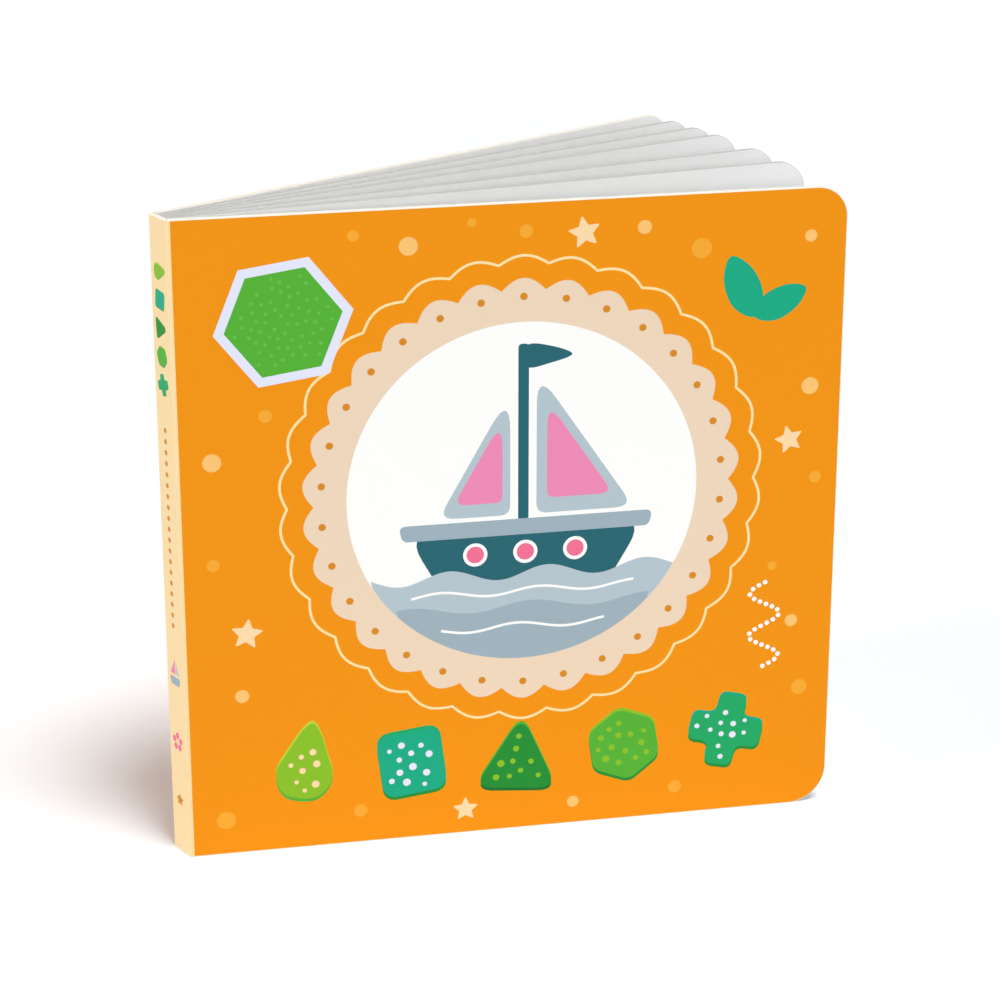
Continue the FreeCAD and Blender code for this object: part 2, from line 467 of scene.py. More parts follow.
def inlay(boundary, layers, base):
    """Splits a flat face along its print: points, triangles, and each triangle's ink.

    layers are loops with their inks, the first printed first. The boundary's points come first
    and in order.
    """
    points = [Vector(point) for point in boundary]
    loops = [list(range(len(points)))]
    for loop, _ in layers:
        start = len(points)
        points += [Vector(point) for point in loop]
        loops.append(list(range(start, len(points))))
    found = delaunay_2d_cdt(points, [], loops, 1, 1e-6)
    vertices, triangles, sources, owners = found[0], found[2], found[3], found[5]
    if any(0 not in owner for owner in owners):
        raise RuntimeError("The print runs over the edge of its board")
    inks = [base if max(owner) == 0 else layers[max(owner) - 1][1] for owner in owners]
    homes = {}
    for index, source in enumerate(sources):
        for original in source:
            if original < len(boundary):
                homes[index] = original
    return vertices, triangles, inks, homes


def build_board(name, outline, levels, place, face, bands, layers=()):
    """Makes a board as a closed mesh.

    face is the ink of the outer face, and layers is its print. bands gives the ink of a side's
    strip, from its number and from its place along the ring, which closes at the root.
    """
    bm = bmesh.new()
    depths = bm.verts.layers.float.new("board_depth")
    inks = []

    def paint(mesh_face, ink):
        if ink not in inks:
            inks.append(ink)
        mesh_face.material_index = inks.index(ink)

    def vertex(along, up, depth):
        made = bm.verts.new(place(along, up, depth))
        made[depths] = depth * MM
        return made

    rings = [[vertex(*point, depth) for point in outline(depth, inset)] for depth, inset in levels]
    count = len(rings[0])
    for number, (upper, lower) in enumerate(zip(rings, rings[1:])):
        for k in range(count):
            near, far = k, (k + 1) % count
            quad = bm.faces.new((upper[near], upper[far], lower[far], lower[near]))
            paint(quad, bands(number, k - count))
    flat, triangles, owners, homes = inlay(outline(*levels[0]), layers, face)
    verts = []
    for index, point in enumerate(flat):
        verts.append(rings[0][homes[index]] if index in homes else vertex(*point, levels[0][0]))
    for triangle, ink in zip(triangles, owners):
        paint(bm.faces.new([verts[index] for index in triangle]), ink)
    paint(bm.faces.new(rings[-1]), bands(len(levels) - 1, 0))
    return finish_mesh(bm, name, inks)


def finish_mesh(bm, name, inks, sharp=33.0):
    """Points the faces outwards, shades them and hands back the mesh with its materials.

    An edge stays sharp where its faces turn by more than sharp, in degrees.
    """
    bmesh.ops.recalc_face_normals(bm, faces=bm.faces)
    for mesh_face in bm.faces:
        mesh_face.smooth = True
    for edge in bm.edges:
        edge.smooth = edge.is_manifold and edge.calc_face_angle() < math.radians(sharp)
    mesh = bpy.data.meshes.new(name)
    bm.to_mesh(mesh)
    bm.free()
    for ink in inks:
        mesh.materials.append(material_for(ink))
    return mesh


def new_object(name, data):
    piece = bpy.data.objects.new(name, data)
    bpy.context.scene.collection.objects.link(piece)
    return piece


def fit_piece(mesh, name, node, body):
    """Puts a finished mesh in the scene in place of its solid, and makes sure that it fits it."""
    piece = new_object(name, mesh)
    low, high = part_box(node)
    for axis in range(3):
        values = [vertex.co[axis] for vertex in mesh.vertices]
        miss = max(abs(min(values) - low[axis]), abs(max(values) - high[axis]))
        if miss > FIT_TOLERANCE * MM:
            raise RuntimeError(f"{name} doesn't fit its solid")
    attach(piece, body)
    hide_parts(node)


# Geometry nodes


def new_tree(name, inputs):
    """A geometry tree with named inputs, its input node, and the item of each input."""
    tree = bpy.data.node_groups.new(name, "GeometryNodeTree")
    tree.interface.new_socket("Geometry", in_out="INPUT", socket_type="NodeSocketGeometry")
    for label, kind in inputs.items():
        tree.interface.new_socket(label, in_out="INPUT", socket_type="NodeSocket" + kind)
    tree.interface.new_socket("Geometry", in_out="OUTPUT", socket_type="NodeSocketGeometry")
    return tree, add_node(tree, "NodeGroupInput").outputs


def close_tree(tree, geometry, material):
    """Ends a tree in Realize Instances and Set Material."""
    real = add_node(tree, "GeometryNodeRealizeInstances", {"Geometry": geometry})
    painted = add_node(tree, "GeometryNodeSetMaterial", {
        "Geometry": real.outputs[0], "Material": material})
    add_node(tree, "NodeGroupOutput", {"Geometry": painted.outputs[0]})
    return tree


def marks_tree():
    """Copies of a mark along a line, each turned with it."""
    tree, given = new_tree("Marks along a line", {
        "Mark": "Object", "Count": "Int", "Ink": "Material"})
    line = add_node(tree, "GeometryNodeResampleCurve", {
        "Curve": given["Geometry"], "Count": given["Count"]})
    mark = add_node(tree, "GeometryNodeObjectInfo", {"Object": given["Mark"]})
    tangent = add_node(tree, "GeometryNodeInputTangent")
    turn = add_node(tree, "FunctionNodeAlignRotationToVector", {"Vector": tangent.outputs[0]}, axis="X")
    copies = add_node(tree, "GeometryNodeInstanceOnPoints", {
        "Points": line.outputs[0], "Instance": mark.outputs["Geometry"],
        "Rotation": turn.outputs[0]})
    return close_tree(tree, copies.outputs[0], given["Ink"])


def ribbon_tree():
    """A flat ribbon along a line."""
    tree, given = new_tree("Ribbon along a line", {"Width": "Float", "Count": "Int", "Ink": "Material"})
    line = add_node(tree, "GeometryNodeResampleCurve", {
        "Curve": given["Geometry"], "Count": given["Count"]})
    level = add_node(tree, "GeometryNodeSetCurveNormal", {"Curve": line.outputs[0]}, mode="Z_UP")
    ends = []
    for share in (-0.5, 0.5):
        half = add_node(tree, "ShaderNodeMath", {0: given["Width"], 1: share}, operation="MULTIPLY")
        ends.append(add_node(tree, "ShaderNodeCombineXYZ", {"X": half.outputs[0]}))
    across = add_node(tree, "GeometryNodeCurvePrimitiveLine", {
        "Start": ends[0].outputs[0], "End": ends[1].outputs[0]})
    ribbon = add_node(tree, "GeometryNodeCurveToMesh", {
        "Curve": level.outputs[0], "Profile Curve": across.outputs[0]})
    return close_tree(tree, ribbon.outputs[0], given["Ink"])


def scatter_tree():
    """Round dots scattered over a flat shape, none nearer than a distance to another."""
    tree, given = new_tree("Scattered dots", {
        "Distance": "Float", "Smallest": "Float", "Largest": "Float", "Seed": "Int",
        "Ink": "Material"})
    spots = add_node(tree, "GeometryNodeDistributePointsOnFaces", {
        "Mesh": given["Geometry"], "Distance Min": given["Distance"], "Density Max": 10.0,
        "Seed": given["Seed"]}, distribute_method="POISSON")
    size = add_node(tree, "FunctionNodeRandomValue", {
        2: given["Smallest"], 3: given["Largest"], "Seed": given["Seed"]}, data_type="FLOAT")
    dot = add_node(tree, "GeometryNodeMeshCircle", {"Vertices": 14, "Radius": 1.0}, fill_type="NGON")
    copies = add_node(tree, "GeometryNodeInstanceOnPoints", {
        "Points": spots.outputs[0], "Instance": dot.outputs[0], "Scale": size.outputs[1]})
    return close_tree(tree, copies.outputs[0], given["Ink"])


def fan_tree():
    """A leaf on each point of the fan, turned by the point's angle.

    A leaf's root is slanted to lie on the spine's line, by its distance in front of the leaf's
    middle.
    """
    tree, given = new_tree("Fanned leaves", {
        "Leaf": "Object", "Square Angle": "Float", "Page": "Material", "Cut Edge": "Material"})
    leaf = add_node(tree, "GeometryNodeObjectInfo", {"Object": given["Leaf"]})
    angle, before, cut = (
        add_node(tree, "GeometryNodeInputNamedAttribute", {"Name": name}, data_type=kind)
        for name, kind in (("leaf_angle", "FLOAT"), ("root_before", "FLOAT"), ("cut_edge", "BOOLEAN"))
    )
    turn = add_node(tree, "ShaderNodeCombineXYZ", {"Z": angle.outputs[0]})
    copies = add_node(tree, "GeometryNodeInstanceOnPoints", {
        "Points": given["Geometry"], "Instance": leaf.outputs["Geometry"],
        "Rotation": turn.outputs[0]})
    real = add_node(tree, "GeometryNodeRealizeInstances", {"Geometry": copies.outputs[0]})
    lean = add_node(tree, "ShaderNodeMath", {0: given["Square Angle"], 1: angle.outputs[0]},
                    operation="SUBTRACT")
    slope = add_node(tree, "ShaderNodeMath", {0: lean.outputs[0]}, operation="TANGENT")
    slide = add_node(tree, "ShaderNodeMath", {0: slope.outputs[0], 1: before.outputs[0]},
                     operation="MULTIPLY")
    cosine = add_node(tree, "ShaderNodeMath", {0: angle.outputs[0]}, operation="COSINE")
    sine = add_node(tree, "ShaderNodeMath", {0: angle.outputs[0]}, operation="SINE")
    along = add_node(tree, "ShaderNodeCombineXYZ", {"X": cosine.outputs[0], "Y": sine.outputs[0]})
    offset = add_node(tree, "ShaderNodeVectorMath", {0: along.outputs[0], "Scale": slide.outputs[0]},
                      operation="SCALE")
    slanted = add_node(tree, "GeometryNodeSetPosition", {
        "Geometry": real.outputs[0], "Offset": offset.outputs[0]})
    paged = add_node(tree, "GeometryNodeSetMaterial", {
        "Geometry": slanted.outputs[0], "Material": given["Page"]})
    edged = add_node(tree, "GeometryNodeSetMaterial", {
        "Geometry": paged.outputs[0], "Selection": cut.outputs[0], "Material": given["Cut Edge"]})
    add_node(tree, "NodeGroupOutput", {"Geometry": edged.outputs[0]})
    return tree


def run_tree(base, tree, values):
    """Runs a tree on an object, takes the result as a plain mesh, and takes the tree off."""
    modifier = base.modifiers.new("nodes", "NODES")
    modifier.node_group = tree
    for item in tree.interface.items_tree:
        if item.in_out == "INPUT" and item.name in values:
            modifier[item.identifier] = values[item.name]
    bpy.context.view_layer.update()
    graph = bpy.context.evaluated_depsgraph_get()
    mesh = bpy.data.meshes.new_from_object(base.evaluated_get(graph), depsgraph=graph)
    base.modifiers.remove(modifier)
    return mesh


def remove_objects(*objects):
    for piece in objects:
        bpy.data.objects.remove(piece)


# Print shapes, in millimetres along and up the cover


def circle(centre, radius, count=40):
    turns = [math.tau * step / count for step in range(count)]
    return [(centre[0] + radius * math.cos(turn), centre[1] + radius * math.sin(turn)) for turn in turns]


def moved(points, centre, scale=1.0, tilt=0.0):
    """Points scaled and turned about the origin, then moved."""
    cosine, sine = math.cos(math.radians(tilt)) * scale, math.sin(math.radians(tilt)) * scale
    return [
        (centre[0] + x * cosine - y * sine, centre[1] + x * sine + y * cosine) for x, y in points
    ]


def regular(sides, radius, tilt=90.0, waist=None):
    """A regular polygon, or a star where a waist radius is given."""
    count = sides if waist is None else 2 * sides
    radii = [radius if waist is None or step % 2 == 0 else waist for step in range(count)]
    return [
        (r * math.cos(math.radians(tilt + 360.0 * step / count)),
         r * math.sin(math.radians(tilt + 360.0 * step / count)))
        for step, r in enumerate(radii)
    ]


def rounded(points, radius, steps=7):
    """A closed polygon with its corners rounded, each as far as its sides allow."""
    result = []
    count = len(points)
    for index in range(count):
        corner = Vector(points[index])
        before = Vector(points[index - 1]) - corner
        after = Vector(points[(index + 1) % count]) - corner
        half = before.angle(after) / 2
        reach = min(radius / math.tan(half), 0.48 * before.length, 0.48 * after.length)
        start, end = corner + before.normalized() * reach, corner + after.normalized() * reach
        for step in range(steps + 1):
            t = step / steps
            result.append(tuple(start * (1 - t) ** 2 + corner * (2 * t * (1 - t)) + end * t ** 2))
    return result


def smooth(points, steps=9):
    """A closed soft curve through points."""
    result = []
    count = len(points)
    for index in range(count):
        a, b, c, d = (Vector(points[(index + shift) % count]) for shift in (-1, 0, 1, 2))
        for step in range(steps):
            t = step / steps
            result.append(tuple(0.5 * (
                2 * b + (c - a) * t + (2 * a - 5 * b + 4 * c - d) * t ** 2
                + (3 * b - a - 3 * c + d) * t ** 3)))
    return result


def flat_object(name, loop):
    """A flat shape as an object."""
    mesh = bpy.data.meshes.new(name)
    mesh.from_pydata([(x, y, 0.0) for x, y in loop], [], [list(range(len(loop)))])
    return new_object(name, mesh)


def line_object(name, points, closed):
    """A line as a curve object."""
    curve = bpy.data.curves.new(name, "CURVE")
    curve.dimensions = "3D"
    spline = curve.splines.new("POLY")
    spline.points.add(len(points) - 1)
    for target, (x, y) in zip(spline.points, points):
        target.co = (x, y, 0.0, 1.0)
    spline.use_cyclic_u = closed
    return new_object(name, curve)


def anticlockwise(loop):
    """The loop, turned round if it runs clockwise."""
    area = sum(x * v - u * y for (x, y), (u, v) in zip(loop, loop[1:] + loop[:1]))
    return loop if area > 0 else loop[::-1]


def within(point, loop):
    """Whether a point lies inside a closed loop."""
    inside = False
    for (x, y), (u, v) in zip(loop, loop[1:] + loop[:1]):
        if (y > point[1]) != (v > point[1]) and point[0] < x + (point[1] - y) * (u - x) / (v - y):
            inside = not inside
    return inside


class Printer:
    """Collects print loops, the first printed first."""

    def __init__(self):
        self.layers = []
        self.marks = marks_tree()
        self.ribbon = ribbon_tree()
        self.scatter = scatter_tree()

    def add(self, loop, ink):
        self.layers.append((anticlockwise(loop), ink))

    def take(self, mesh, ink, field=None):
        """Prints the faces of a flat mesh, or those that lie wholly within a field."""
        for face in mesh.polygons:
            loop = [tuple(mesh.vertices[index].co.xy) for index in face.vertices]
            if field is None or all(within(point, field) for point in loop):
                self.add(loop, ink)

    def along(self, line, closed, mark, count, ink):
        """Prints a mark a number of times along a line."""
        base, stamp = line_object("line", line, closed), flat_object("mark", mark)
        self.take(run_tree(base, self.marks, {
            "Mark": stamp, "Count": count, "Ink": material_for(ink)}), ink)
        remove_objects(base, stamp)

    def stroke(self, line, closed, width, count, ink):
        """Prints a line of a width."""
        base = line_object("line", line, closed)
        self.take(run_tree(base, self.ribbon, {
            "Width": width, "Count": count, "Ink": material_for(ink)}), ink)
        remove_objects(base)

    def dots(self, field, distance, smallest, largest, seed, ink):
        """Prints scattered dots over a shape, without those that its outline would cut."""
        base = flat_object("field", field)
        mesh = run_tree(base, self.scatter, {
            "Distance": distance, "Smallest": smallest, "Largest": largest, "Seed": seed,
            "Ink": material_for(ink)})
        remove_objects(base)
        self.take(mesh, ink, field)


# Front cover's design: a boat in a scalloped window, toy blocks along the foot, scattered marks

DOILY_CENTRE = (77.5, 83.0)
SCALLOPS = 30
LOOP_GAP = 4.2  # the disc's radius to the middle of the wavy line
LOOP_SWING = 0.9  # how far the wavy line swings to either side
BEAD_GAP = 1.6  # the foot of the scallops to the beads
WINDOW = 40.0  # radius of the window that the boat is drawn for
BLOCKS = (
    # kind, ink, its dots' ink, place along and up, tilt
    ("drop", "lime", "star", (27.0, 20.5), -10.0),
    ("square", "teal", "lavender", (51.5, 19.0), 7.0),
    ("triangle", "forest", "lime", (76.5, 18.5), -5.0),
    ("hexagon", "green", "lime", (101.5, 19.0), 9.0),
    ("cross", "sea_green", "lavender", (126.0, 20.5), -13.0),
)
TILE_CENTRE = (24.5, 126.0)
TILE_RADII = (15.5, 13.1, 12.2)  # its border, its field and the part that has dots
LEAVES_ROOT = (130.0, 121.0)
WAVE_FOOT = (134.5, 36.0)
WAVE_SIZE = (3.6, 21.0)  # how far the dotted wave swings to either side, and its height
PALE_DOTS = (
    # place along and up, radius
    (52.0, 141.5, 2.1), (104.5, 143.0, 1.6), (143.5, 104.0, 2.0), (8.0, 95.0, 2.1),
    (141.0, 47.0, 1.5), (13.0, 39.0, 1.6), (89.5, 5.5, 1.4), (142.5, 139.0, 1.4),
)
FAINT_DOTS = (
    # place along and up, radius
    (78.0, 143.5, 1.5), (66.0, 146.0, 1.0), (117.5, 137.5, 2.3), (20.0, 105.0, 1.5),
    (145.5, 82.0, 1.4), (7.5, 71.0, 1.5), (143.5, 30.0, 1.9), (8.5, 8.5, 2.2), (39.5, 8.0, 1.6),
    (114.0, 7.0, 1.6), (136.0, 61.0, 1.1), (40.0, 144.5, 1.3),
)
STARS = (
    # place along and up, radius, tilt
    (91.0, 142.5, 3.9, 10.0), (14.5, 54.0, 3.9, -8.0), (139.0, 91.5, 3.6, 14.0),
    (64.0, 6.0, 3.2, 0.0),
)


def block_outline(kind):
    """Outline of a chunky toy block, one unit high."""
    shapes = {
        "drop": smooth([(0.0, 0.62), (0.3, 0.12), (0.38, -0.18), (0.2, -0.45), (-0.2, -0.45),
                        (-0.38, -0.18), (-0.3, 0.12)]),
        "square": rounded([(-0.44, -0.46), (0.44, -0.46), (0.44, 0.46), (-0.44, 0.46)], 0.2),
        "triangle": rounded([(-0.58, -0.48), (0.58, -0.48), (0.0, 0.6)], 0.16),
        "hexagon": rounded(regular(6, 0.54), 0.2),
        "cross": rounded([(-0.2, -0.52), (0.2, -0.52), (0.2, -0.2), (0.52, -0.2), (0.52, 0.2),
                          (0.2, 0.2), (0.2, 0.52), (-0.2, 0.52), (-0.2, 0.2), (-0.52, 0.2),
                          (-0.52, -0.2), (-0.2, -0.2)], 0.12),
    }
    return shapes[kind]


BLOCK_SHADES = {
    # body: light upper edge, dark lower edge
    "lime": ("pale_lime", "green"),
    "teal": ("sea_green", "forest"),
    "forest": ("green", "deep_green"),
    "green": ("lime", "forest"),
    "sea_green": ("teal", "forest"),
}


def print_block(printer, kind, ink, dot_ink, centre, tilt, size, seed):
    """A chunky block: a light edge above, a dark edge below, and scattered dots.

    Its edges and its dots are shares of its size, so a small block looks like a large one.
    """
    outline = moved(block_outline(kind), (0.0, 0.0), size, tilt)
    edge = 0.045 * size
    light, dark = BLOCK_SHADES[ink]
    printer.add(moved(outline, (centre[0], centre[1] + edge)), light)
    printer.add(moved(outline, (centre[0], centre[1] - edge)), dark)
    printer.add(moved(outline, centre), ink)
    if dot_ink:
        field = moved(outline, centre, 0.98)
        printer.dots(field, 0.16 * size, 0.03 * size, 0.055 * size, seed, dot_ink)


def print_boat(printer, centre, size):
    """A toy sailing boat. size is the radius of the round window that it sails in."""
    k = size / WINDOW

    def put(points, ink):
        printer.add(moved(points, centre, k), ink)

    def swell(level, height, length, shift):
        """A line of waves across the window, ending just inside it."""
        reach = math.sqrt(WINDOW ** 2 - level ** 2) - 0.3
        steps = [reach * (step / 30 - 1) for step in range(61)]
        return [(x, level + height * math.sin((x + shift) / length)) for x in steps]

    def sea(level, height, length, shift):
        """The window's part below a line of waves."""
        surface = swell(level, height, length, shift)
        start = math.degrees(math.atan2(surface[-1][1], surface[-1][0]))
        finish = -180.0 - math.degrees(math.atan2(surface[0][1], -surface[0][0]))
        angles = [math.radians(start + (finish - start) * step / 50) for step in range(1, 50)]
        rim = WINDOW - 0.01
        return surface + [(rim * math.cos(a), rim * math.sin(a)) for a in angles]

    put(rounded([(-1.2, -12.0), (1.2, -12.0), (1.2, 35.0), (-1.2, 35.0)], 1.0), "deep_teal")
    put(smooth([(0.8, 34.6), (6.0, 34.2), (11.0, 32.0), (6.0, 30.2), (0.8, 29.6)]), "deep_teal")
    for sail in (
        [(3.0, 28.5), (3.0, -5.0), (25.5, -5.0)],
        [(-3.0, 24.0), (-19.5, -5.0), (-3.0, -5.0)],
    ):
        put(rounded(sail, 2.4), "mist")
        middle = [sum(values) / 3 for values in zip(*sail)]
        inner = moved([(x - middle[0], y - middle[1]) for x, y in sail], middle, 0.68)
        put(rounded(inner, 1.8), "pink")
    put(rounded([(-27.0, -7.5), (-19.0, -22.0), (20.0, -22.0), (28.5, -7.5)], 5.0), "deep_teal")
    put(rounded([(-28.5, -6.0), (-27.5, -9.8), (29.0, -9.8), (30.0, -6.0)], 1.6), "slate")
    for along in (-11.0, 0.5, 12.0):
        put(circle((along, -14.0), 2.8, 28), "white")
        put(circle((along, -14.0), 2.0, 28), "rose")
    put(sea(-19.0, 1.5, 3.6, 0.0), "mist")
    put(sea(-27.0, 1.1, 4.4, 5.0), "slate")
    for level, shift in ((-23.4, 2.0), (-32.0, 7.0)):
        foam = swell(level, 0.8, 3.6, shift)[6:-6]
        printer.stroke(moved(foam, centre, k), False, 0.6 * k, 60, "white")


def front_print(sizes):
    """All the loops of the front cover's print."""
    printer = Printer()
    for dots, ink in ((PALE_DOTS, "pale_dot"), (FAINT_DOTS, "faint_dot")):
        for x, y, radius in dots:
            printer.add(circle((x, y), radius, 28), ink)
    for x, y, radius, tilt in STARS:
        star = rounded(regular(5, radius, waist=radius * 0.48), 0.25, 3)
        printer.add(moved(star, (x, y), 1.0, tilt), "star")

    # Scalloped cream disc with a bead in each scallop, a wavy line round it, a white window
    radius, scallop = sizes.doily / MM, sizes.scallop / MM
    window = radius - sizes.ring / MM

    def round_line(middle, swing, count=360):
        turns = [math.tau * step / count for step in range(count)]
        radii = [middle + swing * (2 * abs(math.sin(SCALLOPS * turn / 2)) - 1) for turn in turns]
        return moved([(r * math.cos(t), r * math.sin(t)) for r, t in zip(radii, turns)], DOILY_CENTRE)

    loop = round_line(radius + LOOP_GAP, LOOP_SWING)
    printer.stroke(loop, True, sizes.line / MM, len(loop), "loop")
    printer.add(round_line(radius - scallop / 2, scallop / 2), "cream")
    beads = moved(circle((0.0, 0.0), radius - scallop - BEAD_GAP, SCALLOPS), DOILY_CENTRE,
                  tilt=180.0 / SCALLOPS)
    printer.along(beads, True, circle((0.0, 0.0), sizes.bead / MM / 2, 14), SCALLOPS, "ochre")
    printer.add(circle(DOILY_CENTRE, window, 120), "white")
    print_boat(printer, DOILY_CENTRE, window)
    for seed, (kind, ink, dot_ink, centre, tilt) in enumerate(BLOCKS):
        print_block(printer, kind, ink, dot_ink, centre, tilt, sizes.block / MM, seed + 3)

    # Bordered green tile with small dots, and a pair of teal leaves
    border, field, dotted = (
        moved(regular(6, size, 60.0), TILE_CENTRE, 1.0, 8.0) for size in TILE_RADII
    )
    printer.add(border, "lavender")
    printer.add(field, "green")
    printer.dots(dotted, distance=1.9, smallest=0.4, largest=0.48, seed=11, ink="light_green")
    leaf = smooth([(0.0, 0.0), (4.0, 3.4), (10.0, 3.1), (14.0, 0.0), (10.0, -3.1), (4.0, -3.4)], 7)
    for turn, size in ((28.0, 0.95), (112.0, 1.1)):
        printer.add(moved(leaf, LEAVES_ROOT, size, turn), "teal")

    # Dotted wave up the fore edge
    wave = []
    for step in range(61):
        swing = WAVE_SIZE[0] * math.sin(math.tau * step / 30)
        wave.append((WAVE_FOOT[0] + swing, WAVE_FOOT[1] + WAVE_SIZE[1] * step / 60))
    printer.along(wave, False, circle((0.0, 0.0), sizes.wave_dot / MM / 2, 12), 24, "white")
    return printer.layers


# Spine's design, as heights up the spine in millimetres

SPINE_PRINT_SHIFT = 0.05  # how far its middle line is in front of the spine's
SPINE_BLOCKS = (138.0, 6.4, 4.4)  # the first block, the step down to the next, and their size
SPINE_DOTS = (102.0, 56.0)  # the first and the last of the dotted line
SPINE_BOAT = 41.5  # its keel
SPINE_FLOWER = 27.5
SPINE_STAR = 13.0


def spine_print(plan):
    """Loops of the spine's print: small marks down its middle."""
    printer = Printer()
    middle = plan.spine / 2 - SPINE_PRINT_SHIFT

    def put(points, height, ink):
        printer.add(moved(points, (middle, height)), ink)

    top, step, size = SPINE_BLOCKS
    for index, (kind, ink, _, _, tilt) in enumerate(BLOCKS):
        print_block(printer, kind, ink, None, (middle, top - step * index), tilt + 90.0, size, index)
    line = [(middle, height) for height in SPINE_DOTS]
    printer.along(line, False, circle((0.0, 0.0), 0.62, 12), 19, "ochre")
    hull = rounded([(-2.4, 2.0), (-1.7, 0.0), (1.7, 0.0), (2.4, 2.0)], 0.5, 3)
    put(hull, SPINE_BOAT, "slate")
    put([(-0.2, 2.7), (2.0, 2.7), (-0.2, 6.4)], SPINE_BOAT, "pink")
    put([(-1.9, 2.7), (-0.6, 2.7), (-0.6, 5.6)], SPINE_BOAT, "mist")
    for petal in regular(5, 1.5):
        put(circle(petal, 0.8, 14), SPINE_FLOWER, "rose")
    put(rounded(regular(5, 1.7, waist=0.85), 0.1, 2), SPINE_STAR, "ochre")
    return printer.layers


# Operators


def make_cover(context, node, layers):
    """A cover: printed outside, blank page sheet inside, bare board round its cut edges."""
    sizes = context.scene.book_sizes
    plan = Plan(sizes)
    crease, place, _ = plan.covers[node]
    rim = sizes.cover_rim / MM
    strip = crease.start + sizes.crease_strip / MM
    outline = die_cut_outline(plan, sizes, plan.width, crease.end, rim, strip)
    levels = board_levels(plan.cover, rim, crease.middle_depth, [plan.wrap], sizes.seam / MM)
    face = outline(*levels[0])
    crease_strip = (face[:2] + face[-2:], "spine_cream")

    def bands(number, spot):
        if number >= len(levels) - 2:
            return "page_white"
        if spot == -1:
            return "spine_cream" if levels[number][0] < crease.middle_depth else "cover_core"
        if number == 0:
            return "spine_cream" if spot in (-2, -len(face)) else "orange"
        return "cover_core"

    name = node + "_board"
    mesh = build_board(name, outline, levels, place, "orange", bands, [crease_strip, *layers])
    fit_piece(mesh, name, node, node)


class BOOK_OT_front_cover(bpy.types.Operator):
    """Makes the printed front cover"""

    bl_idname = "book.front_cover"
    bl_label = "Front cover"

    def execute(self, context):
        make_cover(context, "front_cover", front_print(context.scene.book_print))
        return {"FINISHED"}


class BOOK_OT_back_cover(bpy.types.Operator):
    """Makes the plain back cover"""

    bl_idname = "book.back_cover"
    bl_label = "Back cover"

    def execute(self, context):
        make_cover(context, "back_cover", ())
        return {"FINISHED"}


class BOOK_OT_spine(bpy.types.Operator):
    """Makes the cream spine between the two creases"""

    bl_idname = "book.spine"
    bl_label = "Spine"

    def execute(self, context):
        sizes = context.scene.book_sizes
        plan = Plan(sizes)
        rim = sizes.cover_rim / MM

        def outline(depth, inset):
            guard = max(0.0, inset - rim)
            near = plan.front.end(depth) + guard
            far = plan.spine - plan.back.end(depth) - guard
            head = plan.height - inset
            return [(near, inset), (far, inset), (far, head), (near, head)]

        levels = board_levels(plan.wrap, rim, plan.back.middle_depth)
        bends = {-1: plan.front.middle_depth, -3: plan.back.middle_depth}

        def bands(number, spot):
            printed = number == 0 or levels[number][0] < bends.get(spot, 0.0)
            return "spine_cream" if printed else "cover_core"

        mesh = build_board("spine_board", outline, levels, plan.spine_place, "spine_cream", bands,
                           spine_print(plan))
        fit_piece(mesh, "spine_board", "spine_panel", "book_block")
        return {"FINISHED"}


class BOOK_OT_leaves(bpy.types.Operator):
    """Makes the fanned leaves, each of two page sheets that fold over at the gutters"""

    bl_idname = "book.leaves"
    bl_label = "Leaves"

    def execute(self, context):
        sizes = context.scene.book_sizes
        plan = Plan(sizes)
        leaf = new_object("leaf", leaf_mesh(plan, sizes))
        roots = []
        for index, angle in enumerate(LEAF_ANGLES):
            front = plan.spine_point(plan.gutters[index], plan.gutter_depth)
            rear = plan.spine_point(plan.gutters[index + 1], plan.gutter_depth)
            roots.append((front + rear) / 2 * MM)
        points = bpy.data.meshes.new("fan")
        points.from_pydata([(*root, 0.0) for root in roots], [], [])
        angles = points.attributes.new("leaf_angle", "FLOAT", "POINT")
        angles.data.foreach_set("value", [math.radians(angle) for angle in LEAF_ANGLES])
        fan = new_object("fan", points)
        # The cut edges' grey doubles as a painted shade line along each leaf's top edge
        mesh = run_tree(fan, fan_tree(), {
            "Leaf": leaf, "Square Angle": math.radians(SQUARE_ANGLE),
            "Page": material_for("page_white"), "Cut Edge": material_for("leaf_core")})
        mesh.name = "leaves"
        remove_objects(fan, leaf)
        fit_piece(mesh, "leaves", "page_block", "book_block")
        return {"FINISHED"}


def leaf_mesh(plan, sizes):
    """One leaf lying along X, its middle plane on X, its foot on Z zero, its root at X zero.

    The root ends in the backs of its two half folds, with the glue's dip between them.
    """
    rim = sizes.leaf_rim / MM
    dip = sizes.glue_dip / MM
    half = plan.sheet
    radius = (half ** 2 + dip ** 2) / (2 * dip)

    def end(depth):
        crown = depth if depth < half else plan.leaf - depth
        return radius - math.sqrt(radius ** 2 - crown ** 2) - plan.sheet

    def place(along, up, depth):
        return Vector((along, depth - half, up)) * MM

    outline = die_cut_outline(plan, sizes, plan.leaf_length, end, rim)
    levels = board_levels(plan.leaf, rim, seams=[half], seam_depth=sizes.seam / MM)

    def bands(number, spot):
        # Cut edges take the leaf core's grey, which is partly painted shade between the leaves
        cut = 0 < number < len(levels) - 2 and spot != -1
        return "leaf_core" if cut else "page_white"

    mesh = build_board("leaf", outline, levels, place, "page_white", bands)
    cut = mesh.attributes.new("cut_edge", "BOOLEAN", "FACE")
    core = [m.get("book_key") for m in mesh.materials].index("leaf_core")
    cut.data.foreach_set("value", [face.material_index == core for face in mesh.polygons])
    before = mesh.attributes.new("root_before", "FLOAT", "POINT")
    before.data.foreach_set("value", [
        -vertex.co.y if vertex.co.x < ROOT_REACH * MM else 0.0 for vertex in mesh.vertices])
    return mesh


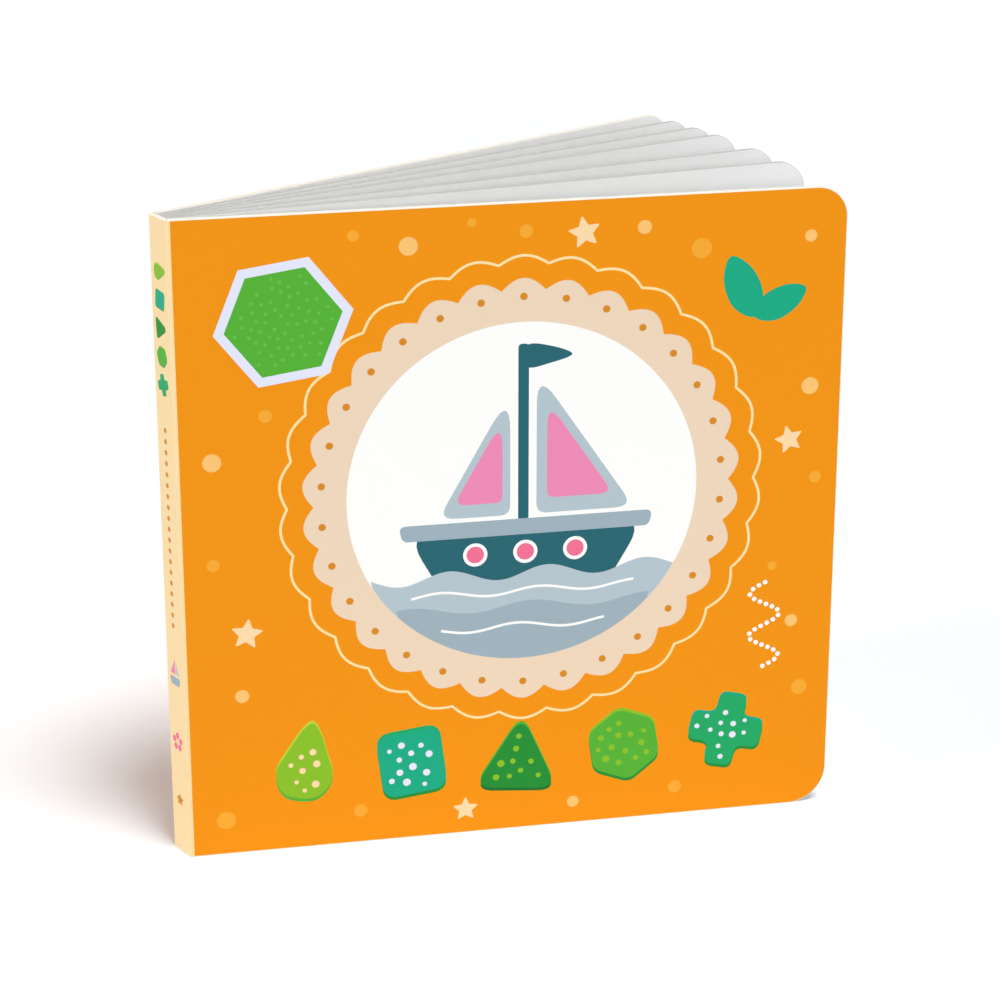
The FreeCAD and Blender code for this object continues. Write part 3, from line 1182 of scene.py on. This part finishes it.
class BOOK_OT_hinge_folds(bpy.types.Operator):
    """Makes the page sheet that folds over from each cover's inside to the nearest leaf"""

    bl_idname = "book.hinge_folds"
    bl_label = "Folds at the covers"

    def execute(self, context):
        sizes = context.scene.book_sizes
        plan = Plan(sizes)
        for body in plan.covers:
            hinge_fold(body.replace("cover", "hinge_fold"), plan, sizes.leaf_rim, body)
        return {"FINISHED"}


def hinge_fold(name, plan, rim, body, steps=14):
    """A strip of page sheet round a cover's hinge, from the leaf's gutter to its inside.

    rim, in metres, is how far the strip stays from the book's foot and head.
    """
    crease, place, gutter = plan.covers[body]
    pivot = place(crease.middle_along, 0.0, crease.middle_depth)
    leaf_end = plan.spine_place(gutter, 0.0, plan.gutter_depth)
    leaf_back = plan.spine_place(gutter, 0.0, plan.wrap + FOLD_BACK_GAP)
    cover_end = place(crease.end(plan.cover) + FOLD_GAP, 0.0, plan.cover)
    cover_back = place(crease.end(plan.wrap) + FOLD_GAP, 0.0, plan.wrap)

    def polar(point):
        arm = point - pivot
        return math.atan2(arm.y, arm.x), math.hypot(arm.x, arm.y)

    def curve(start, end, sag):
        """Points round the hinge from start to end, drawn in towards it halfway."""
        (a0, r0), (a1, r1) = polar(start), polar(end)
        points = []
        for step in range(steps + 1):
            t = step / steps
            angle = a0 + (a1 - a0) * t
            radius = r0 + (r1 - r0) * t - sag * math.sin(math.pi * t)
            points.append(pivot + Vector((math.cos(angle), math.sin(angle), 0.0)) * radius)
        return points

    facing = curve(leaf_end, cover_end, FOLD_SAG * MM)
    backing = curve(leaf_back, cover_back, FOLD_BACK_SAG * MM)
    ring = facing + backing[::-1]
    bm = bmesh.new()
    rows = []
    for up in (rim, plan.height * MM - rim):
        rows.append([bm.verts.new(point + Vector((0.0, 0.0, up))) for point in ring])
    count = len(ring)
    for k in range(count):
        far = (k + 1) % count
        bm.faces.new((rows[0][k], rows[0][far], rows[1][far], rows[1][k]))
    for row in rows:
        for k in range(steps):
            bm.faces.new((row[k], row[k + 1], row[count - 2 - k], row[count - 1 - k]))
    piece = new_object(name, finish_mesh(bm, name, ["page_white"]))
    tuple(cover_end)
    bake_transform(piece)


class BOOK_OT_stage(bpy.types.Operator):
    """Makes the floor, the lamps, the room's light and the camera"""

    bl_idname = "book.stage"
    bl_label = "Stage"

    def execute(self, context):
        settings = context.scene.book_stage
        scene = context.scene
        scene.view_settings.view_transform = "Standard"
        reach = FLOOR_REACH
        corners = [(-reach, -reach), (reach, -reach), (reach, reach), (-reach, reach)]
        floor = flat_object("floor", corners)
        floor.data.materials.append(floor_material(settings.floor_lift))
        room_light(scene, settings.ambient)
        book = bpy.data.collections.new("Book")
        for piece in scene.objects:
            if piece.type == "MESH" and piece != floor:
                book.objects.link(piece)
        for name, (azimuth, elevation, breadth) in LIGHTS.items():
            strength = getattr(settings, name + "_strength")
            light = add_light(name, strength, azimuth, elevation, breadth)
            if name == BOOK_ONLY_LIGHT:
                light.light_linking.receiver_collection = book
        lens = bpy.data.cameras.new("camera")
        lens.lens = settings.lens
        lens.sensor_width = SENSOR_WIDTH
        camera = new_object("camera", lens)
        camera.location = CAMERA_PLACE
        camera.rotation_euler = [math.radians(angle) for angle in CAMERA_TURN]
        scene.camera = camera
        return {"FINISHED"}


FLOOR_REACH = 6.0  # metres from the book to each edge of the floor

# Where the photograph was taken from, in metres and degrees, and the film's width in millimetres
CAMERA_PLACE = (-0.12734, -0.65619, 0.31382)
CAMERA_TURN = (90.0 - 20.248, 0.0, -11.512)
SENSOR_WIDTH = 36.0

# Where each light stands and how broad it looks from the book, in degrees: its azimuth from
# straight in front of the cover towards +X, its elevation and its breadth
LIGHTS = {
    "key": (26.0, 68.0, 20.0),
    "front": (-11.5, 11.0, 8.0),
    "spine": (-74.0, 9.0, 18.0),
    "back": (170.0, 25.0, 40.0),
}
BOOK_ONLY_LIGHT = "back"  # it would throw a second shadow, so it leaves out the floor


def add_light(name, strength, azimuth, elevation, breadth):
    """A soft light that is as strong all over the stage."""
    light = bpy.data.lights.new(name, "SUN")
    light.energy = strength
    light.angle = math.radians(breadth)
    holder = new_object(name, light)
    flat = math.cos(math.radians(elevation))
    arm = Vector((
        flat * math.sin(math.radians(azimuth)),
        -flat * math.cos(math.radians(azimuth)),
        math.sin(math.radians(elevation)),
    ))
    holder.location = arm
    holder.rotation_euler = (-arm).to_track_quat("-Z", "Y").to_euler()
    return holder


def seen_directly(tree, paths):
    """1 for the rays of a Light Path node that are named, 0 for the rest."""
    light = add_node(tree, "ShaderNodeLightPath")
    value = light.outputs[paths[0]]
    for path in paths[1:]:
        value = add_node(tree, "ShaderNodeMath", {0: value, 1: light.outputs[path]},
                         operation="MAXIMUM").outputs[0]
    return value


def floor_material(lift):
    """Matte paper sweep, whose brightener leaves it a touch blue in the shade.

    It keeps the book's shadow, and the camera sees it a little lifted.
    """
    material = bpy.data.materials.new("Paper sweep")
    tree = empty_nodes(material)
    matte = add_node(tree, "ShaderNodeBsdfDiffuse", {"Color": (*linear("#F3F5F7"), 1.0)})
    camera_only = seen_directly(tree, ["Is Camera Ray"])
    strength = add_node(tree, "ShaderNodeMath", {0: camera_only, 1: lift}, operation="MULTIPLY")
    glow = add_node(tree, "ShaderNodeEmission", {"Strength": strength.outputs[0]})
    both = add_node(tree, "ShaderNodeAddShader", {0: matte.outputs[0], 1: glow.outputs[0]})
    add_node(tree, "ShaderNodeOutputMaterial", {"Surface": both.outputs[0]})
    return material


def room_light(scene, ambient):
    """Even white room light, which the camera and reflections see as plain white."""
    world = bpy.data.worlds.new("Studio")
    tree = empty_nodes(world)
    white = (1.0, 1.0, 1.0, 1.0)
    lit = add_node(tree, "ShaderNodeBackground", {"Color": white, "Strength": ambient})
    seen = add_node(tree, "ShaderNodeBackground", {"Color": white, "Strength": 1.0})
    share = seen_directly(tree, ["Is Camera Ray", "Is Glossy Ray", "Is Transmission Ray"])
    mix = add_node(tree, "ShaderNodeMixShader", {0: share, 1: lit.outputs[0], 2: seen.outputs[0]})
    add_node(tree, "ShaderNodeOutputWorld", {"Surface": mix.outputs[0]})
    scene.world = world


OPERATORS = (
    BOOK_OT_front_cover,
    BOOK_OT_back_cover,
    BOOK_OT_spine,
    BOOK_OT_leaves,
    BOOK_OT_hinge_folds,
    BOOK_OT_stage,
)


class BOOK_PT_panel(bpy.types.Panel):
    """Lists the book's pieces"""

    bl_idname = "BOOK_PT_panel"
    bl_label = "Board book"
    bl_space_type = "VIEW_3D"
    bl_region_type = "UI"
    bl_category = "Board book"

    def draw(self, context):
        for operator in OPERATORS:
            self.layout.operator(operator.bl_idname)
        for group in (context.scene.book_sizes, context.scene.book_print,
                      context.scene.book_colours, context.scene.book_stage):
            box = self.layout.box()
            for name in group.__annotations__:
                box.prop(group, name)


GROUPS = {
    "book_sizes": BookSizes,
    "book_print": PrintSizes,
    "book_colours": PrintColours,
    "book_stage": StageSettings,
}


def register():
    for group in (*GROUPS.values(), *OPERATORS, BOOK_PT_panel):
        bpy.utils.register_class(group)
    for name, group in GROUPS.items():
        setattr(bpy.types.Scene, name, bpy.props.PointerProperty(type=group))


def unregister():
    for name in GROUPS:
        delattr(bpy.types.Scene, name)
    for group in (BOOK_PT_panel, *OPERATORS, *GROUPS.values()):
        bpy.utils.unregister_class(group)


def main():
    register()
    bpy.ops.book.front_cover()
    bpy.ops.book.back_cover()
    bpy.ops.book.spine()
    bpy.ops.book.leaves()
    bpy.ops.book.hinge_folds()
    bpy.ops.book.stage()


if __name__ == "__main__":
    main()
